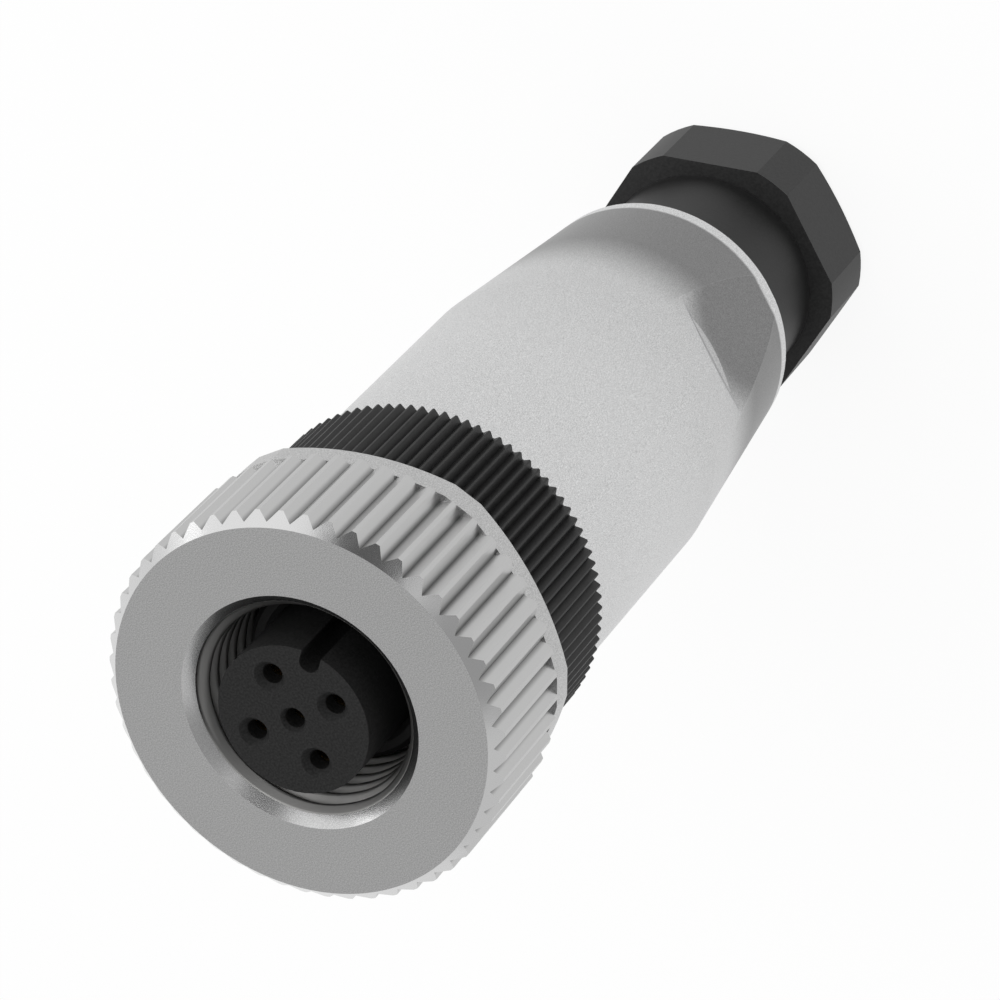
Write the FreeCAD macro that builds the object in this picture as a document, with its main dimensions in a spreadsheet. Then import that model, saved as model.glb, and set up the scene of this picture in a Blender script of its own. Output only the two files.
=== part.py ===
import FreeCAD, Part
import os
import re
import Sketcher

# Straight five-pole M12 cable socket with screw terminals and a cable gland.
# Millimetres. The connector stands on the end of its gland nut: z = 0 is that end, +Z runs
# along the axis to the mating face, and +X passes through a contact and a spanner flat.

SIZES = {
    # coupling nut
    "nut_length": 8.35,
    "nut_radius": 10.9,
    "nut_chamfer": 0.67,
    "nut_band_length": 1.3,
    "nut_band_drop": 0.42,
    "nut_corner_flat_angle": 8.3,
    "knurl_count": 52,
    "knurl_depth": 0.45,
    "knurl_crest_width": 0.22,
    "thread_minor_radius": 5.46,
    "thread_root_radius": 6.0,
    "thread_lip_length": 0.4,
    "nut_mouth_radius": 6.52,
    "nut_shoulder_length": 0.95,
    # neck that the coupling nut turns on, and the ring that holds it there
    "neck_radius": 5.3,
    "neck_groove_radius": 5.0,
    "neck_flange_length": 0.55,
    "running_clearance": 0.06,
    "retainer_thickness": 0.5,
    "retainer_radius": 5.75,
    "retainer_gap": 1.6,
    "nut_groove_radius": 6.05,
    "retainer_play": 0.05,
    "nut_travel": 0.4,
    "nut_gap": 0.1,
    # moulded grip ring, which is also the housing of the contact insert
    "ring_length": 7.05,
    "ring_step": 0.615,
    "ring_tooth_depth": 0.33,
    "ring_tooth_count": 96,
    "ring_crest_width": 0.1,
    "spigot_length": 6.0,
    "spigot_wall": 1.3,
    "spigot_bevel": 0.3,
    "ring_web": 4.35,
    "nose_clearance": 0.04,
    # contact insert
    "nose_radius": 4.13,
    "insert_proud": 0.66,
    "socket_depth": 5.85,
    "head_clearance": 0.05,
    "head_recess": 0.2,
    "keyway_overrun": 0.5,
    "keyway_radius": 0.54,
    "keyway_centre_radius": 3.59,
    "keyway_angle": 45,
    "pole_circle_radius": 2.5,
    "pole_hole_radius": 0.543,
    "pole_hole_length": 1.2,
    "pole_sink_radius": 0.85,
    "pole_sink_depth": 0.35,
    "centre_sink_radius": 0.7,
    "centre_sink_depth": 0.235,
    "face_seal_section": 1.0,
    "face_seal_clearance": 0.03,
    # contacts and their screw terminals
    "barrel_radius": 0.95,
    "barrel_clearance": 0.05,
    "barrel_recess": 0.1,
    "contact_bore_depth": 6.8,
    "contact_slit_width": 0.2,
    "contact_slit_length": 4.5,
    "link_width": 1.2,
    "link_thickness": 1.3,
    "terminal_inset": 0.6,
    "terminal_inner_radius": 3.05,
    "terminal_width": 3.1,
    "terminal_length": 7.4,
    "terminal_clearance": 0.05,
    "wire_hole_radius": 0.95,
    "wire_hole_inset": 1.6,
    "wire_hole_depth": 5.8,
    "screw_height": 2.8,
    "screw_hole_radius": 1.0,
    "screw_hole_length": 1.9,
    "screw_radius": 0.95,
    "screw_travel": 0.5,
    "screw_length": 1.55,
    "screw_head_radius": 1.45,
    "screw_head_length": 0.7,
    "screw_slot_width": 0.36,
    "screw_slot_depth": 0.36,
    "guard_radius": 0.9,
    "guard_thickness": 0.33,
    "guard_gap": 0.02,
    "carrier_length": 7.6,
    # body sleeve
    "barrel_length": 17.34,
    "sleeve_radius": 9.175,
    "sleeve_wall": 1.175,
    "cone_length": 13.36,
    "cone_drop": 1.195,
    "land_length": 0.9,
    "land_drop": 0.08,
    "sleeve_thread_clearance": 0.05,
    "sleeve_thread_length": 6.0,
    "chamber_step": 0.5,
    "chamber_floor_bevel": 0.4,
    "floor_thickness": 0.8,
    "floor_hole_step": 0.4,
    "flat_inset": 0.1,
    "flat_length": 9.1,
    "flat_ramp_length": 1.9,
    "flat_ramp_height": 1.0,
    "gasket_thickness": 0.5,
    "gasket_clearance": 0.1,
    "gasket_inset": 0.175,
    # cable gland
    "seat_step": 0.8,
    "seat_bore_length": 3.8,
    "seat_cone_length": 1.6,
    "seat_cone_drop": 0.75,
    "seat_end_length": 1.0,
    "gland_bore_length": 6.0,
    "gland_bore_wall": 1.6,
    "gland_thread_length": 4.8,
    "gland_clearance": 0.05,
    "neck_length": 7.75,
    "gland_neck_step": 0.2,
    "gland_end_bevel": 0.3,
    "hex_length": 5.45,
    "hex_across_flats": 14.56,
    "hex_corner_step": 0.565,
    "hex_end_drop": 1.125,
    "hex_end_bevel": 0.6,
    "cable_hole_radius": 3.2,
    "cable_hole_bevel": 0.6,
    "gland_end_wall": 2.2,
    "gland_cavity_step": 1.2,
    "thrust_thickness": 0.95,
    "part_gap": 0.05,
    "ring_hole_clearance": 0.1,
    "cage_clearance": 0.1,
    "cage_wall": 1.0,
    "cage_base_length": 1.35,
    "cage_finger_length": 3.9,
    "cage_finger_taper": 1.4,
    "cage_tip_wall": 0.37,
    "cage_slot_width": 0.9,
    "cage_slot_count": 8,
    "grommet_clearance": 0.15,
    "grommet_wall": 1.2,
    "grommet_groove": 0.35,
}

doc = FreeCAD.newDocument("connector")
sheet = doc.addObject("Spreadsheet::Sheet", "dims")
for row, (alias, number) in enumerate(SIZES.items(), start=1):
    sheet.set(f"A{row}", alias)
    sheet.set(f"B{row}", str(number))
    sheet.setAlias(f"B{row}", alias)
doc.recompute()

NODES = []


# Heights along the axis, as sums of the lengths that stack up from the gland nut's end.
SLEEVE_END = "(hex_length + neck_length)"
LAND_TOP = f"({SLEEVE_END} + land_length)"
CONE_TOP = f"({LAND_TOP} + cone_length)"
RING_BOTTOM = f"({CONE_TOP} + barrel_length)"
RING_TOP = f"({RING_BOTTOM} + ring_length)"
NUT_BOTTOM = f"({RING_TOP} + nut_gap)"
NUT_TOP = f"({NUT_BOTTOM} + nut_length)"
BAND_TOP = f"({NUT_BOTTOM} + nut_band_length)"
INSERT_TOP = f"({NUT_TOP} + insert_proud)"
FLANGE_TOP = f"({NUT_TOP} - socket_depth)"
FLANGE_BOTTOM = f"({FLANGE_TOP} - neck_flange_length)"
HEAD_TOP = f"({RING_TOP} - ring_web)"
SPIGOT_END = f"({RING_BOTTOM} - spigot_length)"
CARRIER_TOP = f"({SPIGOT_END} - head_recess)"
CARRIER_BOTTOM = f"({CARRIER_TOP} - carrier_length)"
SLEEVE_TOP = f"({RING_BOTTOM} - gasket_thickness)"
RETAINER_TOP = f"({FLANGE_BOTTOM} - nut_travel - retainer_play)"
RETAINER_BOTTOM = f"({RETAINER_TOP} - retainer_thickness)"
GLAND_INNER_END = f"({SLEEVE_END} + gland_thread_length)"
THRUST_BOTTOM = f"({GLAND_INNER_END} + part_gap)"
THRUST_TOP = f"({THRUST_BOTTOM} + thrust_thickness)"
CAGE_BOTTOM = f"({THRUST_TOP} + part_gap)"
FINGER_BOTTOM = f"({CAGE_BOTTOM} + cage_base_length)"
FINGER_TOP = f"({FINGER_BOTTOM} + cage_finger_length)"
GLAND_BORE_TOP = f"({SLEEVE_END} + gland_bore_length)"
SEAT_BORE_TOP = f"({GLAND_BORE_TOP} + seat_bore_length)"
SEAT_CONE_TOP = f"({SEAT_BORE_TOP} + seat_cone_length)"
SEAT_TOP = f"({SEAT_CONE_TOP} + seat_end_length)"
CHAMBER_BOTTOM = f"({SEAT_TOP} + floor_thickness)"
SLEEVE_THREAD_BOTTOM = f"({SLEEVE_TOP} - sleeve_thread_length)"
GROMMET_TOP = f"({SEAT_TOP} - part_gap)"
GROMMET_BOTTOM = f"({FINGER_BOTTOM} + part_gap)"
GROMMET_LENGTH = f"({GROMMET_TOP} - {GROMMET_BOTTOM})"

# Radii that follow from the sleeve's outside, inwards.
RING_RADIUS = "(sleeve_radius + ring_step)"
SLEEVE_THREAD_RADIUS = "(sleeve_radius - sleeve_wall)"
SPIGOT_RADIUS = f"({SLEEVE_THREAD_RADIUS} - sleeve_thread_clearance)"
CHAMBER_RADIUS = f"({SLEEVE_THREAD_RADIUS} - chamber_step)"
HEAD_RADIUS = f"({SPIGOT_RADIUS} - spigot_wall - head_clearance)"
TERMINAL_OUTER = f"({HEAD_RADIUS} - terminal_inset)"
TERMINAL_INNER = "terminal_inner_radius"
WIRE_HOLE_CENTRE = f"({TERMINAL_OUTER} - wire_hole_inset)"
LAND_RADIUS = "(sleeve_radius - cone_drop)"
LAND_END_RADIUS = f"({LAND_RADIUS} - land_drop)"
FLAT_DISTANCE = f"({LAND_RADIUS} - flat_inset)"
GLAND_BORE_RADIUS = f"({LAND_END_RADIUS} - gland_bore_wall)"
GLAND_THREAD_RADIUS = f"({GLAND_BORE_RADIUS} - gland_clearance)"
SEAT_RADIUS = f"({GLAND_THREAD_RADIUS} - seat_step)"
SEAT_END_RADIUS = f"({SEAT_RADIUS} - seat_cone_drop)"
CAGE_RADIUS = f"({SEAT_RADIUS} - cage_clearance)"
CAGE_INNER_RADIUS = f"({CAGE_RADIUS} - cage_wall)"
GROMMET_RADIUS = f"({CAGE_INNER_RADIUS} - grommet_clearance)"
GROMMET_BORE_RADIUS = f"({GROMMET_RADIUS} - grommet_wall)"
THRUST_HOLE_RADIUS = "(cable_hole_radius + ring_hole_clearance)"
HEX_CORNER_RADIUS = "(hex_across_flats / 2 + hex_corner_step)"
OUTSIDE = "(nut_radius + 2)"


def bound(text):
    """Write a size expression with the sheet's name in front of each alias."""
    return re.sub(r"[a-z_]+", lambda word: f"dims.{word[0]}" if word[0] in SIZES else word[0], str(text))


def number(text):
    return float(sheet.evalExpression(bound(text)))


def bind(item, **expressions):
    for name, text in expressions.items():
        item.setExpression(name.replace("__", "."), bound(text))
    return item


def new_body(label):
    body = doc.addObject("PartDesign::Body", label)
    body.Label = label
    NODES.append(body)
    return body


def origin_item(body, role):
    return next(item for item in body.Origin.OriginFeatures if item.Role == role)


def new_sketch(body, name, role, height="0"):
    sketch = body.newObject("Sketcher::SketchObject", name)
    sketch.AttachmentSupport = (origin_item(body, role), [""])
    sketch.MapMode = "FlatFace"
    if height != "0":
        bind(sketch, AttachmentOffset__Base__z=height)
    return sketch


def pin_point(sketch, geometry, corner):
    """Tie the start of one edge to the sheet: x and y of a corner, each an expression."""
    for kind, axis, text in (("DistanceX", -2, corner[0]), ("DistanceY", -1, corner[1])):
        size = number(text)
        if abs(size) < 1e-9:
            sketch.addConstraint(Sketcher.Constraint("PointOnObject", geometry, 1, axis))
            continue
        index = sketch.addConstraint(Sketcher.Constraint(kind, -1, 1, geometry, 1, size))
        sketch.setExpression(f"Constraints[{index}]", bound(text))


def draw_polygon(sketch, corners):
    points = [FreeCAD.Vector(number(x), number(y), 0) for x, y in corners]
    edges = [Part.LineSegment(start, end) for start, end in zip(points, points[1:] + points[:1])]
    first = sketch.GeometryCount
    sketch.addGeometry(edges)
    count = len(edges)
    for step in range(count):
        joint = Sketcher.Constraint("Coincident", first + step, 2, first + (step + 1) % count, 1)
        sketch.addConstraint(joint)
    for step, corner in enumerate(corners):
        pin_point(sketch, first + step, corner)


def draw_circle(sketch, radius, x="0", y="0"):
    centre = FreeCAD.Vector(number(x), number(y), 0)
    index = sketch.addGeometry(Part.Circle(centre, FreeCAD.Vector(0, 0, 1), number(radius)))
    for kind, axis, text in (("DistanceX", -2, x), ("DistanceY", -1, y)):
        size = number(text)
        if abs(size) < 1e-9:
            sketch.addConstraint(Sketcher.Constraint("PointOnObject", index, 3, axis))
            continue
        place = sketch.addConstraint(Sketcher.Constraint(kind, -1, 1, index, 3, size))
        sketch.setExpression(f"Constraints[{place}]", bound(text))
    size = sketch.addConstraint(Sketcher.Constraint("Radius", index, number(radius)))
    sketch.setExpression(f"Constraints[{size}]", bound(radius))


def revolve(body, name, corners, kind="PartDesign::Revolution"):
    """Turn a profile of (radius, height) corners about the axis."""
    sketch = new_sketch(body, f"{name}_profile", "XZ_Plane")
    draw_polygon(sketch, corners)
    feature = body.newObject(kind, name)
    feature.Profile = sketch
    feature.ReferenceAxis = (sketch, ["V_Axis"])
    feature.Angle = 360
    return feature


def cut_up(body, name, sketch, length):
    """Cut from the sketch towards its front side."""
    pocket = body.newObject("PartDesign::Pocket", name)
    pocket.Profile = sketch
    pocket.Reversed = True
    bind(pocket, Length=length)
    return pocket


def repeat_round(body, name, features, count):
    pattern = body.newObject("PartDesign::PolarPattern", name)
    pattern.Originals = features
    pattern.Axis = (origin_item(body, "Z_Axis"), [""])
    pattern.Angle = 360
    bind(pattern, Occurrences=count)
    body.Tip = pattern
    return pattern


def cut_teeth(body, name, bottom, length, radius, root_radius, count, crest):
    """Cut V grooves along the axis, one every tooth pitch, with a narrow crest between them."""
    outer = f"({radius} + 0.5)"
    half_width = f"((pi * {radius} / {count} - {crest} / 2) * ({outer} - {root_radius}) / ({radius} - {root_radius}))"
    sketch = new_sketch(body, f"{name}_section", "XY_Plane", bottom)
    draw_polygon(sketch, [(root_radius, "0"), (outer, half_width), (outer, f"-{half_width}")])
    groove = cut_up(body, name, sketch, length)
    repeat_round(body, f"{name}_pattern", [groove], count)


def make_coupling_nut():
    """Knurled M12 nut: a round knurl above a rounded hexagon band, and a shoulder inside."""
    body = new_body("coupling_nut")
    thread_top = f"({NUT_TOP} - nut_mouth_radius + thread_root_radius)"
    groove_top = f"({RETAINER_TOP} + retainer_play)"
    revolve(body, "nut_blank", [
        ("neck_radius + running_clearance", NUT_BOTTOM),
        ("nut_radius", NUT_BOTTOM),
        ("nut_radius", f"{NUT_TOP} - nut_chamfer"),
        ("nut_radius - nut_chamfer", NUT_TOP),
        ("nut_mouth_radius", NUT_TOP),
        ("thread_root_radius", thread_top),
        ("thread_root_radius", f"{groove_top} + thread_lip_length"),
        ("thread_minor_radius", f"{groove_top} + thread_lip_length"),
        ("thread_minor_radius", groove_top),
        ("nut_groove_radius", groove_top),
        ("nut_groove_radius", f"{NUT_BOTTOM} + nut_shoulder_length"),
        ("neck_radius + running_clearance", f"{NUT_BOTTOM} + nut_shoulder_length"),
    ])
    shave_nut_band(body)
    cut_teeth(body, "knurl", BAND_TOP, "nut_length", "nut_radius", "(nut_radius - knurl_depth)",
              "knurl_count", "knurl_crest_width")


def shave_nut_band(body):
    """Take the band down to six shallow arcs that leave a narrow flat at each corner."""
    half_angle = "(30 - nut_corner_flat_angle / 2)"
    corner_x = f"nut_radius * cos({half_angle})"
    corner_y = f"nut_radius * sin({half_angle})"
    sketch = new_sketch(body, "band_side", "XY_Plane", NUT_BOTTOM)
    start = FreeCAD.Vector(number(corner_x), -number(corner_y), 0)
    middle = FreeCAD.Vector(number("nut_radius - nut_band_drop"), 0, 0)
    end = FreeCAD.Vector(number(corner_x), number(corner_y), 0)
    far_x = f"({OUTSIDE})"
    next_x = "nut_radius * cos(nut_corner_flat_angle / 2) * cos(30)"
    next_y = "nut_radius * cos(nut_corner_flat_angle / 2) * sin(30)"
    far_y = f"{far_x} * tan(30)"
    outer = [(next_x, next_y), (far_x, far_y), (far_x, f"-{far_y}"), (next_x, f"-({next_y})")]
    points = [end] + [FreeCAD.Vector(number(x), number(y), 0) for x, y in outer] + [start]
    sketch.addGeometry(Part.Arc(start, middle, end))
    sketch.addGeometry([Part.LineSegment(a, b) for a, b in zip(points, points[1:])])
    sketch.addConstraint(Sketcher.Constraint("Coincident", 0, 2, 1, 1))
    for step in range(1, 5):
        sketch.addConstraint(Sketcher.Constraint("Coincident", step, 2, step + 1, 1))
    sketch.addConstraint(Sketcher.Constraint("Coincident", 5, 2, 0, 1))
    for geometry, corner in zip(range(1, 6), [(corner_x, corner_y)] + outer):
        pin_point(sketch, geometry, corner)
    for kind, text in (("DistanceX", corner_x), ("DistanceY", f"-{corner_y}")):
        index = sketch.addConstraint(Sketcher.Constraint(kind, -1, 1, 0, 1, number(text)))
        sketch.setExpression(f"Constraints[{index}]", bound(text))
    sagitta = "(nut_radius - nut_band_drop - nut_radius * cos(30 - nut_corner_flat_angle / 2))"
    chord = f"(nut_radius * sin({half_angle}))"
    radius = f"({chord} * {chord} + {sagitta} * {sagitta}) / (2 * {sagitta})"
    index = sketch.addConstraint(Sketcher.Constraint("Radius", 0, number(radius)))
    sketch.setExpression(f"Constraints[{index}]", bound(radius))
    side = cut_up(body, "band_side_cut", sketch, "nut_band_length")
    repeat_round(body, "band_sides", [side], "6")


def make_retaining_ring():
    """Split ring in the nut's groove; it meets the neck's flange when the nut is pulled forward."""
    body = new_body("retaining_ring")
    inner = "(neck_groove_radius + running_clearance)"
    revolve(body, "ring_turn", [
        (inner, RETAINER_BOTTOM),
        ("retainer_radius", RETAINER_BOTTOM),
        ("retainer_radius", RETAINER_TOP),
        (inner, RETAINER_TOP),
    ])
    sketch = new_sketch(body, "ring_gap", "XY_Plane", RETAINER_BOTTOM)
    draw_polygon(sketch, [
        ("-neck_radius / 2", "-retainer_gap / 2"),
        ("-neck_radius / 2", "retainer_gap / 2"),
        ("-neck_radius * 2", "retainer_gap / 2"),
        ("-neck_radius * 2", "-retainer_gap / 2"),
    ])
    cut_up(body, "ring_split", sketch, "retainer_thickness")


def make_grip_ring():
    """Moulded housing: toothed grip collar, neck for the coupling nut, threaded spigot behind."""
    body = new_body("grip_ring")
    bore = f"({SPIGOT_RADIUS} - spigot_wall)"
    nose_bore = "(nose_radius + nose_clearance)"
    revolve(body, "housing", [
        (bore, SPIGOT_END),
        (f"{SPIGOT_RADIUS} - spigot_bevel", SPIGOT_END),
        (SPIGOT_RADIUS, f"{SPIGOT_END} + spigot_bevel"),
        (SPIGOT_RADIUS, RING_BOTTOM),
        (RING_RADIUS, RING_BOTTOM),
        (RING_RADIUS, RING_TOP),
        ("neck_radius", RING_TOP),
        ("neck_radius", f"{RETAINER_BOTTOM} - retainer_play"),
        ("neck_groove_radius", f"{RETAINER_BOTTOM} - retainer_play"),
        ("neck_groove_radius", FLANGE_BOTTOM),
        ("neck_radius", FLANGE_BOTTOM),
        ("neck_radius", FLANGE_TOP),
        (nose_bore, FLANGE_TOP),
        (nose_bore, HEAD_TOP),
        (bore, HEAD_TOP),
    ])
    root = f"({RING_RADIUS} - ring_tooth_depth)"
    cut_teeth(body, "grip_tooth", RING_BOTTOM, "ring_length", RING_RADIUS, root,
              "ring_tooth_count", "ring_crest_width")


def make_contact_insert():
    """Moulded insert: keyed nose with five pole holes, and a wider head seated in the grip ring."""
    body = new_body("contact_insert")
    revolve(body, "insert_turn", [
        ("0", CARRIER_TOP),
        (HEAD_RADIUS, CARRIER_TOP),
        (HEAD_RADIUS, HEAD_TOP),
        ("nose_radius", HEAD_TOP),
        ("nose_radius", INSERT_TOP),
        ("0", INSERT_TOP),
    ])
    key_length = f"{INSERT_TOP} - {FLANGE_TOP}"
    round_end = new_sketch(body, "keyway_end", "XY_Plane", FLANGE_TOP)
    key_x = "keyway_centre_radius * cos(keyway_angle)"
    key_y = "keyway_centre_radius * sin(keyway_angle)"
    draw_circle(round_end, "keyway_radius", key_x, key_y)
    cut_up(body, "keyway_floor", round_end, f"{key_length} + 1")
    sides = new_sketch(body, "keyway_sides", "XY_Plane", FLANGE_TOP)
    draw_polygon(sides, [turned(along, across, "keyway_angle") for along, across in (
        ("keyway_centre_radius", "keyway_radius"),
        ("keyway_centre_radius", "-keyway_radius"),
        ("(nose_radius + keyway_overrun)", "-keyway_radius"),
        ("(nose_radius + keyway_overrun)", "keyway_radius"),
    )])
    cut_up(body, "keyway_slot", sides, f"{key_length} + 1")
    cut_pole(body, "centre", "0", "centre_sink_radius", "centre_sink_depth")
    outer = cut_pole(body, "outer", "pole_circle_radius", "pole_sink_radius", "pole_sink_depth")
    repeat_round(body, "outer_poles", outer, "4")
    for pole in POLES:
        sketch = new_sketch(body, f"link_slot_{pole['name']}", "XY_Plane", CARRIER_TOP)
        draw_polygon(sketch, link_corners(pole, "(link_width / 2 + terminal_clearance)", "terminal_clearance"))
        cut_up(body, f"link_slot_cut_{pole['name']}", sketch, "link_thickness + terminal_clearance")


def turned(along, across, angle):
    """A point given along and across a direction, as x and y expressions."""
    return (f"{along} * cos({angle}) - ({across}) * sin({angle})",
            f"{along} * sin({angle}) + ({across}) * cos({angle})")


def cut_pole(body, name, radius, sink_radius, sink_depth):
    """One pole: the bore for the contact's barrel, the narrow hole above it and its countersink."""
    wide = "(barrel_radius + barrel_clearance)"
    step = f"{INSERT_TOP} - pole_hole_length"
    sketch = new_sketch(body, f"{name}_pole_bore", "XY_Plane", CARRIER_TOP)
    draw_circle(sketch, wide, radius)
    bore = cut_up(body, f"{name}_bore", sketch, f"{step} - {CARRIER_TOP}")
    sketch = new_sketch(body, f"{name}_pole_hole", "XY_Plane", CARRIER_TOP)
    draw_circle(sketch, "pole_hole_radius", radius)
    hole = cut_up(body, f"{name}_hole", sketch, f"{INSERT_TOP} - {CARRIER_TOP} + 1")
    sketch = new_sketch(body, f"{name}_sink_profile", "XZ_Plane")
    draw_polygon(sketch, [
        (radius, INSERT_TOP),
        (f"{radius} + {sink_radius}", INSERT_TOP),
        (f"{radius} + pole_hole_radius", f"{INSERT_TOP} - {sink_depth}"),
        (radius, f"{INSERT_TOP} - {sink_depth}"),
    ])
    sink = body.newObject("PartDesign::Groove", f"{name}_sink")
    sink.Profile = sketch
    sink.ReferenceAxis = (sketch, ["V_Axis"])
    if radius != "0":
        start = FreeCAD.Vector(number(radius), number(CARRIER_TOP), 0)
        end = FreeCAD.Vector(number(radius), number(INSERT_TOP), 0)
        axis = sketch.addGeometry(Part.LineSegment(start, end), True)
        sketch.addConstraint(Sketcher.Constraint("Vertical", axis))
        pin_point(sketch, axis, (radius, CARRIER_TOP))
        sink.ReferenceAxis = (sketch, ["Axis0"])
    sink.Angle = 360
    return [bore, hole, sink]


POLES = [
    {"name": "1", "radius": "pole_circle_radius", "angle": "90", "terminal": "117"},
    {"name": "2", "radius": "pole_circle_radius", "angle": "0", "terminal": "333"},
    {"name": "3", "radius": "pole_circle_radius", "angle": "270", "terminal": "261"},
    {"name": "4", "radius": "pole_circle_radius", "angle": "180", "terminal": "189"},
    {"name": "5", "radius": "0", "angle": "0", "terminal": "45"},
]


def link_corners(pole, half_width, extra):
    """Corners of the strip that joins a pole to its terminal, seen along the axis."""
    start_x = f"{pole['radius']} * cos({pole['angle']})"
    start_y = f"{pole['radius']} * sin({pole['angle']})"
    end_x = f"({TERMINAL_INNER} + wire_hole_radius) * cos({pole['terminal']})"
    end_y = f"({TERMINAL_INNER} + wire_hole_radius) * sin({pole['terminal']})"
    length = f"sqrt(({end_x} - {start_x})^2 + ({end_y} - {start_y})^2)"
    along_x = f"(({end_x} - {start_x}) / {length})"
    along_y = f"(({end_y} - {start_y}) / {length})"
    return [
        (f"{start_x} - {along_y} * {half_width}", f"{start_y} + {along_x} * {half_width}"),
        (f"{start_x} + {along_y} * {half_width}", f"{start_y} - {along_x} * {half_width}"),
        (f"{end_x} + {along_y} * {half_width} + {along_x} * {extra}",
         f"{end_y} - {along_x} * {half_width} + {along_y} * {extra}"),
        (f"{end_x} - {along_y} * {half_width} + {along_x} * {extra}",
         f"{end_y} + {along_x} * {half_width} + {along_y} * {extra}"),
    ]


def make_terminal_carrier():
    """Moulded star behind the insert, with a pocket for each screw terminal."""
    body = new_body("terminal_carrier")
    revolve(body, "carrier_turn", [
        ("0", CARRIER_BOTTOM),
        (HEAD_RADIUS, CARRIER_BOTTOM),
        (HEAD_RADIUS, CARRIER_TOP),
        ("0", CARRIER_TOP),
    ])
    half = "(terminal_width / 2 + terminal_clearance)"
    for pole in POLES:
        sketch = new_sketch(body, f"pocket_{pole['name']}", "XY_Plane", CARRIER_BOTTOM)
        draw_polygon(sketch, [turned(along, across, pole["terminal"]) for along, across in (
            (f"({TERMINAL_INNER} - terminal_clearance)", half),
            (f"({TERMINAL_INNER} - terminal_clearance)", f"-{half}"),
            (SPIGOT_RADIUS, f"-{half}"),
            (SPIGOT_RADIUS, half),
        )])
        cut_up(body, f"pocket_cut_{pole['name']}", sketch, "carrier_length")


def add_pad(body, name, height, length, draw):
    sketch = new_sketch(body, f"{name}_outline", "XY_Plane", height)
    draw(sketch)
    pad = body.newObject("PartDesign::Pad", name)
    pad.Profile = sketch
    bind(pad, Length=length)
    return pad


def make_contact(pole):
    """Brass contact: slit socket barrel, link and clamp block with a wire hole and a screw hole."""
    body = new_body(f"socket_contact_{pole['name']}")
    tag = pole["name"]
    terminal = pole["terminal"]
    block_bottom = f"({CARRIER_TOP} - terminal_length)"
    add_pad(body, f"block_{tag}", block_bottom, "terminal_length", lambda sketch: draw_polygon(
        sketch, [turned(along, across, terminal) for along, across in (
            (TERMINAL_INNER, "terminal_width / 2"),
            (TERMINAL_INNER, "-terminal_width / 2"),
            (TERMINAL_OUTER, "-terminal_width / 2"),
            (TERMINAL_OUTER, "terminal_width / 2"),
        )]))
    add_pad(body, f"link_{tag}", CARRIER_TOP, "link_thickness",
            lambda sketch: draw_polygon(sketch, link_corners(pole, "(link_width / 2)", "0")))
    x = f"{pole['radius']} * cos({pole['angle']})"
    y = f"{pole['radius']} * sin({pole['angle']})"
    barrel_top = f"({INSERT_TOP} - pole_hole_length - barrel_recess)"
    add_pad(body, f"barrel_{tag}", CARRIER_TOP, f"{barrel_top} - {CARRIER_TOP}",
            lambda sketch: draw_circle(sketch, "barrel_radius", x, y))
    sketch = new_sketch(body, f"socket_{tag}", "XY_Plane", f"{barrel_top} - contact_bore_depth")
    draw_circle(sketch, "pole_hole_radius", x, y)
    cut_up(body, f"socket_cut_{tag}", sketch, "contact_bore_depth")
    slit = new_sketch(body, f"slit_{tag}", "XY_Plane", f"{barrel_top} - contact_slit_length")
    draw_polygon(slit, [(f"{x} + {sx} * barrel_radius * 1.2", f"{y} + {sy} * contact_slit_width / 2")
                        for sx, sy in (("-1", "-1"), ("1", "-1"), ("1", "1"), ("-1", "1"))])
    cut_up(body, f"slit_cut_{tag}", slit, "contact_slit_length")
    wire = new_sketch(body, f"wire_hole_{tag}", "XY_Plane", block_bottom)
    draw_circle(wire, "wire_hole_radius", *turned(WIRE_HOLE_CENTRE, "0", terminal))
    cut_up(body, f"wire_hole_cut_{tag}", wire, "wire_hole_depth")
    cut_screw_hole(body, tag, terminal, block_bottom)


def cut_screw_hole(body, tag, terminal, block_bottom):
    """Cut the screw's hole outwards from the middle of the wire hole."""
    sketch = body.newObject("Sketcher::SketchObject", f"screw_hole_{tag}")
    sketch.AttachmentSupport = (origin_item(body, "YZ_Plane"), [""])
    sketch.MapMode = "FlatFace"
    turn = FreeCAD.Rotation(FreeCAD.Vector(0, 1, 0), float(terminal))
    sketch.AttachmentOffset = FreeCAD.Placement(FreeCAD.Vector(0, 0, 0), turn)
    start = f"({TERMINAL_OUTER} - screw_hole_length)"
    bind(sketch, AttachmentOffset__Base__x=f"{start} * sin({terminal})",
         AttachmentOffset__Base__y=f"{block_bottom} + screw_height",
         AttachmentOffset__Base__z=f"{start} * cos({terminal})")
    draw_circle(sketch, "screw_hole_radius")
    cut_up(body, f"screw_hole_cut_{tag}", sketch, "screw_hole_length + 1")


def radial_body(label, angle, profile):
    """A turned piece whose axis is a radius at a terminal's screw height: (radius, distance) corners."""
    body = new_body(label)
    revolve(body, f"{label}_turn", profile)
    height = f"{CARRIER_TOP} - terminal_length + screw_height"
    body.Placement = FreeCAD.Placement(FreeCAD.Vector(0, 0, 0), FreeCAD.Rotation(float(angle), 90, 0))
    bind(body, Placement__Base__z=height)
    return body


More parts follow.
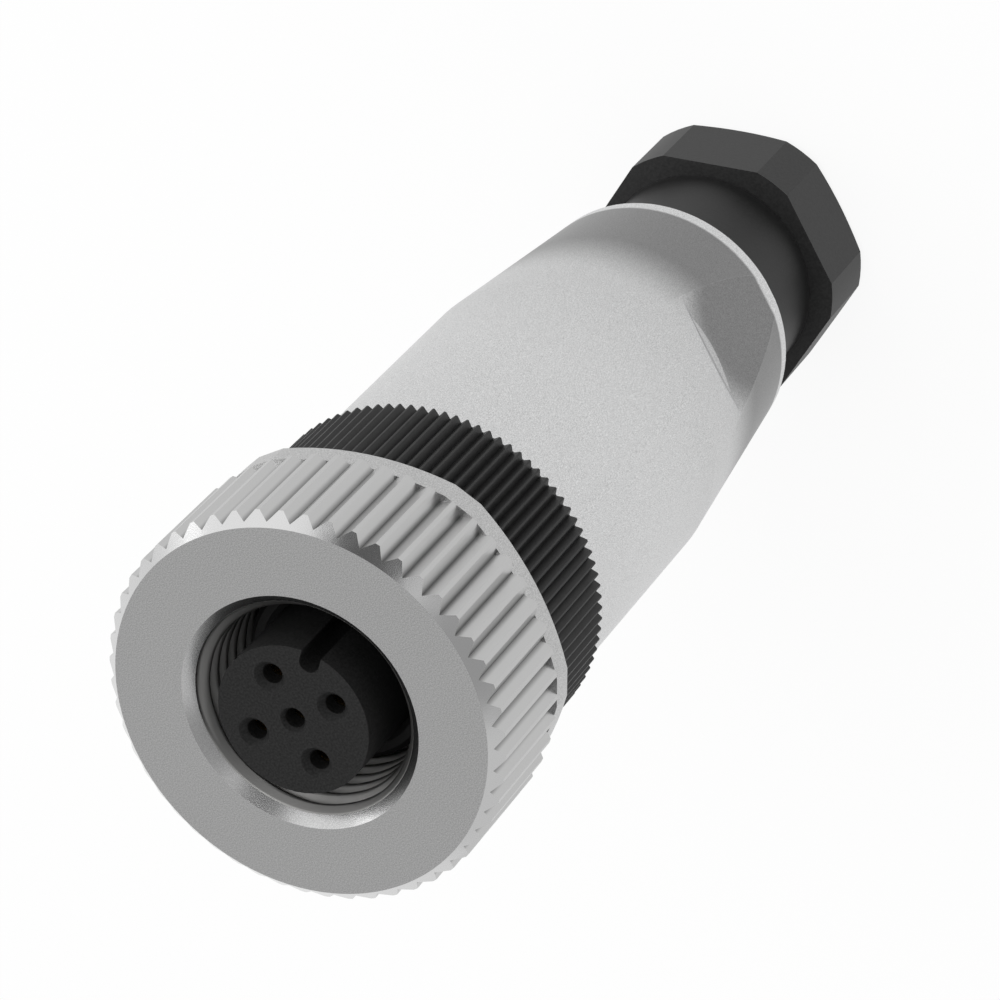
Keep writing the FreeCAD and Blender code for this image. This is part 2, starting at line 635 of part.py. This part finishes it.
def make_clamp_screw(pole):
    """Slotted clamp screw, backed off by its travel, with its axis on a radius of the connector."""
    under_head = f"({TERMINAL_OUTER} + screw_travel)"
    top = f"({under_head} + screw_head_length)"
    body = radial_body(f"clamp_screw_{pole['name']}", pole["terminal"], [
        ("0", f"{under_head} - screw_length"),
        ("screw_radius", f"{under_head} - screw_length"),
        ("screw_radius", under_head),
        ("screw_head_radius", under_head),
        ("screw_head_radius", top),
        ("0", top),
    ])
    slot = new_sketch(body, f"slot_{pole['name']}", "XY_Plane", f"{top} - screw_slot_depth")
    draw_polygon(slot, [(f"{sx} * screw_head_radius * 1.2", f"{sy} * screw_slot_width / 2")
                        for sx, sy in (("-1", "-1"), ("1", "-1"), ("1", "1"), ("-1", "1"))])
    cut_up(body, f"slot_cut_{pole['name']}", slot, "screw_slot_depth + 0.5")


def make_wire_guard(pole):
    """Small disc under the clamp screw's tip, which presses the wire without turning."""
    top = f"({TERMINAL_OUTER} + screw_travel - screw_length - guard_gap)"
    radial_body(f"wire_guard_{pole['name']}", pole["terminal"], [
        ("0", f"{top} - guard_thickness"),
        ("guard_radius", f"{top} - guard_thickness"),
        ("guard_radius", top),
        ("0", top),
    ])


def make_face_seal():
    """Rubber ring of eight-sided section at the bottom of the socket, round the insert's nose."""
    body = new_body("face_seal")
    centre = "(nose_radius + face_seal_clearance + face_seal_section / 2)"
    height = f"({FLANGE_TOP} + face_seal_clearance + face_seal_section / 2)"
    reach = "(face_seal_section / 2 / cos(22.5))"
    revolve(body, "seal_turn", [
        (f"{centre} + {reach} * cos({angle})", f"{height} + {reach} * sin({angle})")
        for angle in (22.5, 67.5, 112.5, 157.5, 202.5, 247.5, 292.5, 337.5)
    ])


def make_sleeve_gasket():
    """Flat sealing washer between the grip ring and the sleeve."""
    body = new_body("sleeve_gasket")
    inner = f"({SPIGOT_RADIUS} + gasket_clearance)"
    outer = "(sleeve_radius - gasket_inset)"
    revolve(body, "gasket_turn", [
        (inner, SLEEVE_TOP),
        (outer, SLEEVE_TOP),
        (outer, RING_BOTTOM),
        (inner, RING_BOTTOM),
    ])


def make_body_sleeve():
    """Die-cast sleeve: barrel, long taper and end land, with two spanner flats and a gland seat."""
    body = new_body("body_sleeve")
    floor_hole = f"({GROMMET_BORE_RADIUS} + floor_hole_step)"
    revolve(body, "sleeve_shell", [
        (GLAND_BORE_RADIUS, SLEEVE_END),
        (LAND_END_RADIUS, SLEEVE_END),
        (LAND_RADIUS, LAND_TOP),
        ("sleeve_radius", CONE_TOP),
        ("sleeve_radius", SLEEVE_TOP),
        (SLEEVE_THREAD_RADIUS, SLEEVE_TOP),
        (SLEEVE_THREAD_RADIUS, SLEEVE_THREAD_BOTTOM),
        (CHAMBER_RADIUS, SLEEVE_THREAD_BOTTOM),
        (CHAMBER_RADIUS, f"{CHAMBER_BOTTOM} + chamber_floor_bevel"),
        (f"{CHAMBER_RADIUS} - chamber_floor_bevel", CHAMBER_BOTTOM),
        (floor_hole, CHAMBER_BOTTOM),
        (floor_hole, SEAT_TOP),
        (SEAT_END_RADIUS, SEAT_TOP),
        (SEAT_END_RADIUS, SEAT_CONE_TOP),
        (SEAT_RADIUS, SEAT_BORE_TOP),
        (SEAT_RADIUS, GLAND_BORE_TOP),
        (GLAND_BORE_RADIUS, GLAND_BORE_TOP),
    ])
    flat_top = f"({SLEEVE_END} + flat_length)"
    reach = f"(flat_ramp_length * ({OUTSIDE} - {FLAT_DISTANCE}) / flat_ramp_height)"
    sketch = new_sketch(body, "flat_side", "XZ_Plane")
    draw_polygon(sketch, [
        (FLAT_DISTANCE, f"{SLEEVE_END} - 1"),
        (OUTSIDE, f"{SLEEVE_END} - 1"),
        (OUTSIDE, f"{flat_top} + {reach}"),
        (FLAT_DISTANCE, flat_top),
    ])
    flat = body.newObject("PartDesign::Pocket", "flat_cut")
    flat.Profile = sketch
    flat.Midplane = True
    bind(flat, Length="2 * sleeve_radius")
    repeat_round(body, "spanner_flats", [flat], "2")


def make_grommet():
    """Rubber cable seal with two grip grooves in its bore."""
    body = new_body("cable_grommet")
    pitch = f"({GROMMET_LENGTH} / 5)"
    corners = [(GROMMET_BORE_RADIUS, GROMMET_BOTTOM), (GROMMET_RADIUS, GROMMET_BOTTOM),
               (GROMMET_RADIUS, GROMMET_TOP), (GROMMET_BORE_RADIUS, GROMMET_TOP)]
    for step in (4, 2):
        corners += [(GROMMET_BORE_RADIUS, f"{GROMMET_BOTTOM} + {step} * {pitch}"),
                    (f"{GROMMET_BORE_RADIUS} + grommet_groove", f"{GROMMET_BOTTOM} + ({step} - 0.5) * {pitch}"),
                    (GROMMET_BORE_RADIUS, f"{GROMMET_BOTTOM} + ({step} - 1) * {pitch}")]
    revolve(body, "grommet_turn", corners)


def make_clamp_cage():
    """Plastic cage whose fingers close on the seal when the gland nut pushes it up the cone."""
    body = new_body("clamp_cage")
    revolve(body, "cage_turn", [
        (CAGE_INNER_RADIUS, FINGER_BOTTOM),
        (THRUST_HOLE_RADIUS, FINGER_BOTTOM),
        (THRUST_HOLE_RADIUS, CAGE_BOTTOM),
        (CAGE_RADIUS, CAGE_BOTTOM),
        (CAGE_RADIUS, f"{FINGER_TOP} - cage_finger_taper"),
        (f"{CAGE_INNER_RADIUS} + cage_tip_wall", FINGER_TOP),
        (CAGE_INNER_RADIUS, FINGER_TOP),
    ])
    sketch = new_sketch(body, "cage_gap", "XY_Plane", FINGER_BOTTOM)
    draw_polygon(sketch, [
        (f"{CAGE_INNER_RADIUS} / 2", "-cage_slot_width / 2"),
        (f"{CAGE_RADIUS} + 1", "-cage_slot_width / 2"),
        (f"{CAGE_RADIUS} + 1", "cage_slot_width / 2"),
        (f"{CAGE_INNER_RADIUS} / 2", "cage_slot_width / 2"),
    ])
    slot = cut_up(body, "cage_slot", sketch, "cage_finger_length + 1")
    repeat_round(body, "cage_slots", [slot], "cage_slot_count")


def make_thrust_ring():
    """Steel washer between the turning gland nut and the cage."""
    body = new_body("thrust_ring")
    revolve(body, "thrust_turn", [
        (THRUST_HOLE_RADIUS, THRUST_BOTTOM),
        (CAGE_RADIUS, THRUST_BOTTOM),
        (CAGE_RADIUS, THRUST_TOP),
        (THRUST_HOLE_RADIUS, THRUST_TOP),
    ])


def make_gland_nut():
    """Moulded gland nut: hexagon with turned corners, smooth neck and the threaded end inside."""
    body = new_body("gland_nut")
    neck = f"({GLAND_THREAD_RADIUS} + gland_neck_step)"
    cavity = "(cable_hole_radius + gland_cavity_step)"
    revolve(body, "gland_turn", [
        ("cable_hole_radius + cable_hole_bevel", "0"),
        (f"{HEX_CORNER_RADIUS} - hex_end_drop", "0"),
        (HEX_CORNER_RADIUS, "hex_end_bevel"),
        (HEX_CORNER_RADIUS, "hex_length"),
        (neck, "hex_length"),
        (neck, SLEEVE_END),
        (GLAND_THREAD_RADIUS, SLEEVE_END),
        (GLAND_THREAD_RADIUS, f"{GLAND_INNER_END} - gland_end_bevel"),
        (f"{GLAND_THREAD_RADIUS} - gland_end_bevel", GLAND_INNER_END),
        (cavity, GLAND_INNER_END),
        (cavity, "gland_end_wall"),
        ("cable_hole_radius", "gland_end_wall"),
        ("cable_hole_radius", "cable_hole_bevel"),
    ])
    sketch = new_sketch(body, "hex_side", "XY_Plane")
    draw_polygon(sketch, [
        ("hex_across_flats / 2", f"-{HEX_CORNER_RADIUS}"),
        (f"{HEX_CORNER_RADIUS} + 1", f"-{HEX_CORNER_RADIUS}"),
        (f"{HEX_CORNER_RADIUS} + 1", HEX_CORNER_RADIUS),
        ("hex_across_flats / 2", HEX_CORNER_RADIUS),
    ])
    side = cut_up(body, "hex_side_cut", sketch, "hex_length")
    repeat_round(body, "hex_sides", [side], "6")


make_coupling_nut()
make_retaining_ring()
make_grip_ring()
make_contact_insert()
make_terminal_carrier()
for pole in POLES:
    make_contact(pole)
    make_clamp_screw(pole)
    make_wire_guard(pole)
make_face_seal()
make_sleeve_gasket()
make_body_sleeve()
make_grommet()
make_clamp_cage()
make_thrust_ring()
make_gland_nut()

doc.recompute()
for item in doc.Objects:
    if "Invalid" in item.State or "Error" in item.State:
        raise RuntimeError(f"{item.Label} failed: {item.State}")
for node in NODES:
    if node.Shape.isNull() or not node.Shape.isValid() or len(node.Shape.Solids) != 1:
        raise RuntimeError(f"{node.Label} is not one valid solid")

os.makedirs("parts", exist_ok=True)
for node in NODES:
    node.Shape.exportStep(f"parts/{node.Label}.step")
    box = node.Shape.BoundBox
    print(f"{node.Label}: {node.Shape.Volume:.2f} mm3, z {box.ZMin:.2f} to {box.ZMax:.2f}, radius {box.XMax:.2f}")
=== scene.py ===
import math

import bpy
from mathutils import Matrix, Vector


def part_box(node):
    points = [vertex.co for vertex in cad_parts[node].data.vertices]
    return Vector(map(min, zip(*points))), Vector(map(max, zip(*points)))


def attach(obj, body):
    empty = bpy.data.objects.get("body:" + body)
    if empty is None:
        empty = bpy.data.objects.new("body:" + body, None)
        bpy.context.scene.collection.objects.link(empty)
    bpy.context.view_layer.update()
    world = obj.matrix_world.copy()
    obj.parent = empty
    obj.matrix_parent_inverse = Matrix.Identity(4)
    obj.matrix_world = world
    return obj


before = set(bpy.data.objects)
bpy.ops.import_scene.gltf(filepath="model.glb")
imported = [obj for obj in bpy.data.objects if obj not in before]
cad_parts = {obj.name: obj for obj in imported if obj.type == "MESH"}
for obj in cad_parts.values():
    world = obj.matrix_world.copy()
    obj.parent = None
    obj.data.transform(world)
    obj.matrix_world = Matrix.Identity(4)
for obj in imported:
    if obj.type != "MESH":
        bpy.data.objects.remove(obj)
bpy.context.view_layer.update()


# Contacts: five brass sockets with a thin gold flash, turned at the mating end and squared off
# behind into clamp blocks. They are pressed into the insert from behind.
MM = 0.001
POLES = range(1, 6)
GOLD = (0.5, 0.37, 0.16)


class Finish:
    """A material in the making: its shader, and a way to add any other node to it."""

    # Most of a noise's values lie between these two.
    NOISE_LOW = 0.25
    NOISE_HIGH = 0.75

    def __init__(self, name, colour, **constants):
        self.material = bpy.data.materials.new(name)
        self.material.use_nodes = True
        self.tree = self.material.node_tree
        self.shader = self.tree.nodes["Principled BSDF"]
        self.set(Base_Color=(*colour, 1.0), **constants)

    def add(self, kind, settings=None, output=0, **feeds):
        """Add a node; feeds are values or links, by socket name or by place as in_0, in_1."""
        node = self.tree.nodes.new(kind)
        for setting, value in (settings or {}).items():
            setattr(node, setting, value)
        for socket, value in feeds.items():
            key = int(socket[3:]) if socket.startswith("in_") else socket.replace("_", " ")
            self.feed(node.inputs[key], value)
        return Link(self, node.outputs[output]) if node.outputs else None

    def feed(self, socket, value):
        if isinstance(value, Link):
            self.tree.links.new(value.socket, socket)
        else:
            socket.default_value = value

    def set(self, **feeds):
        """Feed the shader's own sockets."""
        for socket, value in feeds.items():
            self.feed(self.shader.inputs[socket.replace("_", " ")], value)

    def place(self):
        """Where a point of the surface is, in metres, in the object's own frame."""
        return self.add("ShaderNodeTexCoord", output="Object")

    def noise(self, size, detail=2.0):
        """Soft random blotches of about that size in millimetres, between 0 and 1."""
        return self.add("ShaderNodeTexNoise", Vector=self.place(), Scale=1.0 / (size * MM),
                        Detail=detail)

    def blend(self, amount, first, second):
        """A colour that goes from the first to the second as the amount goes from 0 to 1."""
        return self.mix(amount, (*first, 1.0), second)

    def mix(self, amount, first, second):
        """As blend, but the first is a link to another colour."""
        return self.add("ShaderNodeMix", {"data_type": "RGBA"}, output=2,
                        in_0=amount, in_6=first, in_7=(*second, 1.0))

    def tint(self, colour, grain, depth):
        """The colour made darker and lighter by that share as the grain goes from low to high."""
        factor = self.blend(grain.smooth(self.NOISE_LOW, self.NOISE_HIGH),
                            grey(1.0 - depth), grey(1.0 + depth))
        return self.add("ShaderNodeVectorMath", {"operation": "MULTIPLY"},
                        in_0=colour, in_1=factor)

    def part_of(self, vector, axis):
        """One coordinate of a vector: 0, 1 or 2 for x, y or z."""
        return self.add("ShaderNodeSeparateXYZ", output=axis, Vector=vector)

    def along(self, axis):
        """One coordinate of a point of the surface, in millimetres."""
        return self.part_of(self.place(), axis).in_mm()

    def height(self):
        """Height above the table at rest, in millimetres."""
        return self.along(2)

    def around_axis(self):
        """Distance from the object's axis, in millimetres."""
        return self.along(0).reach(self.along(1))

    def facing(self):
        """How far the surface faces the mating end: 1 straight at it, -1 away from it."""
        return self.part_of(self.add("ShaderNodeTexCoord", output="Normal"), 2)

    def bump(self, height, depth):
        """Relief of that depth in millimetres where the height goes from 0 to 1."""
        return self.add("ShaderNodeBump", Height=height, Distance=depth * MM, Strength=1.0)

    def wear(self, *nodes):
        """Give the finish to these pieces of the solid model."""
        for node in nodes:
            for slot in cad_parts[node].material_slots:
                slot.material = self.material


class Link:
    """A socket's value, so that shader maths is written as plain sums."""

    def __init__(self, finish, socket):
        self.finish = finish
        self.socket = socket

    def math(self, operation, *values):
        feeds = {f"in_{place}": value for place, value in enumerate(values)}
        return self.finish.add("ShaderNodeMath", {"operation": operation}, **feeds)

    def __add__(self, other):
        return self.math("ADD", self, other)

    def __sub__(self, other):
        return self.math("SUBTRACT", self, other)

    def __rsub__(self, other):
        return self.math("SUBTRACT", other, self)

    def __mul__(self, other):
        return self.math("MULTIPLY", self, other)

    __radd__ = __add__
    __rmul__ = __mul__

    def in_mm(self):
        return self * (1.0 / MM)

    def size(self):
        return self.math("ABSOLUTE", self)

    def larger(self, other):
        return self.math("MAXIMUM", self, other)

    def reach(self, other):
        """The distance that these two lengths make at right angles."""
        square = self * self + other * other
        return square.math("SQRT", square)

    def smooth(self, low, high):
        """0 below the first level, 1 above the second, eased between them."""
        return self.finish.add("ShaderNodeMapRange", {"interpolation_type": "SMOOTHSTEP"},
                               Value=self, From_Min=low, From_Max=high)


def grey(level):
    return (level, level, level)


gold_flash = Finish("gold_flash", GOLD, Metallic=1.0)
gold_flash.set(Roughness=gold_flash.noise(0.4) * 0.12 + 0.22)
gold_flash.wear(*[f"socket_contact_{pole}" for pole in POLES])


# Insert and terminal carrier: glass-filled nylon mouldings, dull and faintly mottled. The insert's
# nose carries the keyway and the pole holes, and the carrier is clipped on behind.
INSERT_DARK = grey(0.005)
INSERT_LIGHT = grey(0.019)

nylon = Finish("insert_nylon", grey(0.01), Specular_IOR_Level=0.22)
mottle = nylon.noise(0.5, 4.0)
fibres = nylon.noise(0.12)
nylon.set(Base_Color=nylon.blend(fibres.smooth(0.2, 0.8), INSERT_DARK, INSERT_LIGHT),
          Roughness=mottle * 0.15 + 0.5, Normal=nylon.bump(fibres, 0.004))
nylon.wear("contact_insert", "terminal_carrier")


# Clamp screws, wire guards and rings: zinc-plated steel. A turned screw and a stamped guard are in
# each clamp block, a split ring keeps the nut on its neck, and a flat ring lies behind the cage.
ZINC = (0.6, 0.6, 0.58)

plated_steel = Finish("zinc_plated_steel", ZINC, Metallic=1.0)
plated_steel.set(Roughness=plated_steel.noise(0.3) * 0.15 + 0.25)
for pole in POLES:
    plated_steel.wear(f"clamp_screw_{pole}", f"wire_guard_{pole}")
plated_steel.wear("retaining_ring", "thrust_ring")


# Seals: black rubber, moulded, with a matt skin. One ring lies at the bottom of the socket,
# a flat washer closes the gap to the sleeve, and a ribbed sleeve holds the cable.
rubber = Finish("seal_rubber", grey(0.012))
rubber.set(Roughness=rubber.noise(0.8) * 0.2 + 0.6)
rubber.wear("face_seal", "sleeve_gasket", "cable_grommet")


# Coupling nut: turned from brass and nickel plated, then blasted, so it is satin all over. Its
# turned chamfers are really smoother, and their lighter colour is a painted highlight. It is
# knurled outside, with painted shade at the bottom of the grooves.
NUT_SATIN = (0.475, 0.475, 0.474)
NUT_TEETH = (0.51, 0.51, 0.508)
NUT_GROOVE_SHADE = (0.12, 0.12, 0.119)
NUT_CHAMFER_SHEEN = grey(0.62)
KNURL_FOOT = (53.2, 53.3)
KNURL_INSIDE = (10.3, 10.4)
KNURL_ROOT = 10.44
KNURL_HALFWAY = 10.66
MOUTH_TO_RIM = (8.0, 9.0)
WALL_TO_SLOPE = (0.2, 0.4)
SLOPE_FROM = (0.3, 0.6)
SLOPE_TO = (0.8, 0.95)

nickel = Finish("satin_nickel", NUT_SATIN, Metallic=1.0)
speckle = nickel.noise(0.06)
radius = nickel.around_axis()
upright = nickel.facing()
outside = radius.smooth(*KNURL_INSIDE) * (1.0 - upright.smooth(*WALL_TO_SLOPE))
knurled = nickel.height().smooth(*KNURL_FOOT) * outside
# Painted shade: the bottoms of the knurl's grooves are darkened.
groove_shade = knurled * (1.0 - radius.smooth(KNURL_ROOT, KNURL_HALFWAY))
sloping = upright.smooth(*SLOPE_FROM) * (1.0 - upright.smooth(*SLOPE_TO))
# Painted highlight: the turned chamfers get a lighter colour, half as much in the mouth; their
# lower roughness is real.
turned_with_sheen = sloping * (radius.smooth(*MOUTH_TO_RIM) * 0.5 + 0.5)
teeth = nickel.mix(knurled, nickel.tint(NUT_SATIN, speckle, 0.24), NUT_TEETH)
shaded = nickel.mix(groove_shade * 0.7, teeth, NUT_GROOVE_SHADE)
nickel.set(Base_Color=nickel.mix(turned_with_sheen, shaded, NUT_CHAMFER_SHEEN),
           Roughness=nickel.noise(2.5) * 0.06 + 0.3 - turned_with_sheen * 0.16,
           Normal=nickel.bump(speckle, 0.003))
nickel.wear("coupling_nut")


# Coupling thread: the M12x1 thread that is cut into the nut's bore and plated with it. It is duller
# than the face, and its darker colour is painted shade inside the bore. It starts below the chamfer
# of the mouth and fades out into it.
THREAD_NICKEL_SHADED = (0.22, 0.218, 0.214)
THREAD_PITCH = 1.0
THREAD_ROOT_RADIUS = 6.0
THREAD_CREST_RADIUS = 5.46
THREAD_FLANK_SLOPE = 2.667
THREAD_FLANK_START = 0.167
THREAD_LENGTH = 5.85
MOUTH_RADIUS = 6.52

shaded_thread_nickel = Finish("shaded_thread_nickel", THREAD_NICKEL_SHADED, Metallic=1.0)
shaded_thread_nickel.set(Roughness=shaded_thread_nickel.noise(0.4) * 0.1 + 0.42)


def thread_radius(turn, depth):
    """Radius of the thread's surface at that share of a turn and depth below the nut's face."""
    phase = (depth / THREAD_PITCH + turn) % 1.0
    flank = abs(phase - 0.5) * THREAD_FLANK_SLOPE - THREAD_FLANK_START
    height = (THREAD_ROOT_RADIUS - THREAD_CREST_RADIUS) * min(max(flank, 0.0), 1.0)
    return min(max(THREAD_CREST_RADIUS + height, MOUTH_RADIUS - depth), THREAD_ROOT_RADIUS)


def make_thread(nut_top):
    """A tube whose inner wall is the internal thread and whose outer wall is the nut's bore."""
    around = 120
    rows = 72
    start = MOUTH_RADIUS - THREAD_ROOT_RADIUS
    end = start + THREAD_LENGTH
    depths = [start + THREAD_LENGTH * row / rows for row in range(rows + 1)]
    corners = []
    for row, depth in enumerate(depths + [end, start]):
        for step in range(around):
            turn = step / around
            radius = thread_radius(turn, depth) if row <= rows else THREAD_ROOT_RADIUS
            angle = math.tau * turn
            corners.append((radius * math.cos(angle), radius * math.sin(angle), nut_top - depth))
    rings = rows + 3
    faces = []
    for ring in range(rings):
        upper, lower = ring * around, (ring + 1) % rings * around
        for step in range(around):
            following = (step + 1) % around
            faces.append((upper + step, upper + following, lower + following, lower + step))
    mesh = bpy.data.meshes.new("coupling_thread")
    mesh.from_pydata([Vector(corner) * MM for corner in corners], [], faces)
    mesh.polygons.foreach_set("use_smooth", [True] * len(faces))
    mesh.materials.append(shaded_thread_nickel.material)
    piece = bpy.data.objects.new("coupling_thread", mesh)
    bpy.context.scene.collection.objects.link(piece)
    return piece


thread = make_thread(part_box("coupling_nut")[1].z / MM)
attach(thread, "nut")


# Housing: a black glass-filled nylon moulding. Its toothed collar is the grip, and its neck and
# spigot are inside the nut and the sleeve.
GRIP_DARK = grey(0.007)
GRIP_LIGHT = grey(0.012)

housing_nylon = Finish("housing_nylon", grey(0.009), Specular_IOR_Level=0.35)
grip_mottle = housing_nylon.noise(0.4, 3.0)
housing_nylon.set(Base_Color=housing_nylon.blend(grip_mottle, GRIP_DARK, GRIP_LIGHT),
                  Roughness=grip_mottle * 0.15 + 0.42)
housing_nylon.wear("grip_ring")


# Body sleeve: die-cast zinc, blasted and nickel plated, with a fine grain. Painted shade darkens
# the two spanner flats, as far as the cutter's arc, the tapered end and the barrel towards it, but
# not the edge band.
SLEEVE_BRIGHT = (0.625, 0.627, 0.628)
SLEEVE_SHADE = grey(0.2)
EDGE_BAND_TOP = (13.95, 14.25)
TAPER_SHADE_TOP = (18.5, 25.0)
BARREL_MIDDLE = (22.0, 36.0)
FLAT_FACE = (7.86, 7.876)
ARC_MIDDLE = 21.75
ARC_BEND = 0.096
ARC_EDGE = 0.05
FLAT_CENTRE = 18.0
FLAT_CORNERS = (3.2, 6.2)
FLAT_UPPER_HALF = (17.0, 19.0)

cast_nickel = Finish("cast_nickel", SLEEVE_BRIGHT, Metallic=1.0)
grain = cast_nickel.noise(0.05)
rise = cast_nickel.height()
across = cast_nickel.along(1)
beside = cast_nickel.along(0).size().smooth(*FLAT_FACE)
beyond_arc = rise - across * across * ARC_BEND - ARC_MIDDLE
cut = beside * (1.0 - beyond_arc.smooth(-ARC_EDGE, ARC_EDGE))
corners = across.reach(rise - FLAT_CENTRE).smooth(*FLAT_CORNERS) * rise.smooth(*FLAT_UPPER_HALF)
# Painted shade on the flats, lighter towards their corners.
shaded_flats = cut * (1.0 - corners * 0.7)
# Painted shade on the tapered end.
taper_shade = (1.0 - beside * 0.5) * (1.0 - rise.smooth(*TAPER_SHADE_TOP)) * 0.88
# Painted shade on the barrel towards the taper.
barrel_end_shade = (1.0 - rise.smooth(*BARREL_MIDDLE)) * 0.16
# All the painted shade together, which stops below the edge band.
painted_shade = (shaded_flats + (1.0 - cut) * (taper_shade + barrel_end_shade)) * rise.smooth(*EDGE_BAND_TOP)
plain = cast_nickel.blend(painted_shade, SLEEVE_BRIGHT, SLEEVE_SHADE)
cast_nickel.set(Base_Color=cast_nickel.tint(plain, grain, 0.3),
                Roughness=grain * 0.1 + 0.33, Normal=cast_nickel.bump(grain, 0.004))
cast_nickel.wear("body_sleeve")


# Clamp cage: a black acetal moulding with eight fingers, hidden in the sleeve. The gland nut
# presses them onto the rubber sleeve as it is screwed in.
acetal = Finish("cage_acetal", grey(0.03))
acetal.set(Roughness=acetal.noise(0.6) * 0.1 + 0.4)
acetal.wear("clamp_cage")


# Gland nut: a black nylon moulding with a faint spark-eroded grain on its hexagon and its neck.
# The neck is darkened by painted shade, and screws into the sleeve.
HEXAGON_BLACK = grey(0.0195)
NECK_SHADE = grey(0.012)
HEXAGON_TOP = (5.5, 6.0)

gland_nylon = Finish("gland_nylon", HEXAGON_BLACK, Specular_IOR_Level=0.33)
erosion = gland_nylon.noise(0.15, 3.0)
# Painted shade: the neck above the hexagon is darker.
neck_shade = gland_nylon.height().smooth(*HEXAGON_TOP)
shaded_moulding = gland_nylon.blend(neck_shade, HEXAGON_BLACK, NECK_SHADE)
gland_nylon.set(Base_Color=gland_nylon.tint(shaded_moulding, erosion, 0.3),
                Roughness=erosion * 0.1 + 0.45, Normal=gland_nylon.bump(erosion, 0.004))
gland_nylon.wear("gland_nut")


# Table: a white sheet on which the gland nut stands, seen as plain white around it. It rides on the
# gland nut, so the connector still stands on it when the nut or the sleeve is screwed back, and it
# lies a hair below the end of the nut.
TABLE_REACH = 3.0
TABLE_DROP = 0.02 * MM
TABLE_GLOW = 0.9
TABLE_WHITE = grey(0.95)
WHITE = grey(1.0)


class Light(Finish):
    """A white surface or sky, lit and partly glowing, in place of a shader for metal or plastic."""

    def __init__(self, tree):
        self.tree = tree
        tree.nodes.clear()


def sees_background(light):
    """1 for a ray from the camera, or one that a shiny or clear surface sends on."""
    camera, glossy, clear = [light.add("ShaderNodeLightPath", output=f"Is {kind} Ray")
                             for kind in ("Camera", "Glossy", "Transmission")]
    return camera.larger(glossy).larger(clear)


table_mesh = bpy.data.meshes.new("table")
table_corners = [(x * TABLE_REACH, y * TABLE_REACH, -TABLE_DROP)
                 for x, y in ((-1, -1), (1, -1), (1, 1), (-1, 1))]
table_mesh.from_pydata(table_corners, [], [(0, 1, 2, 3)])
table = bpy.data.objects.new("table", table_mesh)
bpy.context.scene.collection.objects.link(table)
table_paint = bpy.data.materials.new("white_table")
table_paint.use_nodes = True
table_mesh.materials.append(table_paint)
sheet = Light(table_paint.node_tree)
matt = sheet.add("ShaderNodeBsdfDiffuse", Color=(*TABLE_WHITE, 1.0))
glow = sheet.add("ShaderNodeEmission", Color=(*WHITE, 1.0), Strength=1.0)
mixed = sheet.add("ShaderNodeMixShader", in_0=sees_background(sheet) * TABLE_GLOW,
                  in_1=matt, in_2=glow)
sheet.add("ShaderNodeOutputMaterial", Surface=mixed)
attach(table, "gland")


# Room: pale walls with a bright window to the left of the camera, a dark gap beside it and two
# dull corners. The camera itself sees plain white.
ROOM_LEVEL = 0.78
WINDOW = (112, 18, 50, 18)
GAP = (53, 38, 23, 9)
NEAR_CORNER = (-18, 36, 34, 12)
FAR_CORNER = (203, 50, 45, 20)

world = bpy.data.worlds.new("room")
world.use_nodes = True
bpy.context.scene.world = world
sky = Light(world.node_tree)
direction = sky.add("ShaderNodeTexCoord", output="Generated")


def patch(azimuth, elevation, outer, inner):
    """1 within the inner angle of a direction, 0 beyond the outer angle, in degrees."""
    turn, tilt = math.radians(azimuth), math.radians(elevation)
    aim = (math.cos(turn) * math.cos(tilt), math.sin(turn) * math.cos(tilt), math.sin(tilt))
    nearness = sky.add("ShaderNodeVectorMath", {"operation": "DOT_PRODUCT"}, output=1,
                       in_0=direction, in_1=aim)
    return nearness.smooth(math.cos(math.radians(outer)), math.cos(math.radians(inner)))


level = ROOM_LEVEL + patch(*WINDOW) * 0.36 - patch(*GAP) * 0.68
level = level - patch(*NEAR_CORNER) * 0.35 - patch(*FAR_CORNER) * 0.12
to_camera = sky.add("ShaderNodeLightPath", output="Is Camera Ray")
background = sky.add("ShaderNodeBackground", Color=(*WHITE, 1.0),
                     Strength=level * (1.0 - to_camera) + to_camera)
sky.add("ShaderNodeOutputWorld", Surface=background)


# Lamps: two square soft boxes, a weak one high up and a weaker one at the side, that draw out the
# edges. Both face the middle of the connector.
MIDDLE = Vector((0.0, 0.0, 0.03))


def add_lamp(name, place, size, power):
    lamp = bpy.data.lights.new(name, "AREA")
    lamp.size = size
    lamp.energy = power
    holder = bpy.data.objects.new(name, lamp)
    holder.location = place
    holder.rotation_mode = "QUATERNION"
    holder.rotation_quaternion = (Vector(place) - MIDDLE).to_track_quat("Z", "Y")
    bpy.context.scene.collection.objects.link(holder)


add_lamp("top_lamp", (0.1, 0.25, 0.6), 0.3, 1.0)
add_lamp("side_lamp", (-0.45, 0.3, 0.35), 0.4, 0.5)


# Camera: a long lens from in front of the mating face and to one side, rolled so that the
# connector lies along the picture's diagonal.
CAMERA_PLACE = Vector((0.13938, 0.05981, 0.24349))
CAMERA_RIGHT = Vector((0.79506, -0.45376, -0.40247))
CAMERA_UP = Vector((0.27288, 0.86022, -0.43078))

camera = bpy.data.objects.new("camera", bpy.data.cameras.new("camera"))
bpy.context.scene.collection.objects.link(camera)
camera.data.lens = 172.8
camera.data.sensor_width = 36.0
camera.data.clip_start = 0.01
axes = Matrix((CAMERA_RIGHT, CAMERA_UP, CAMERA_RIGHT.cross(CAMERA_UP)))
camera.matrix_world = Matrix.Translation(CAMERA_PLACE) @ axes.transposed().to_4x4()
bpy.context.scene.camera = camera

bpy.context.scene.view_settings.view_transform = "Standard"
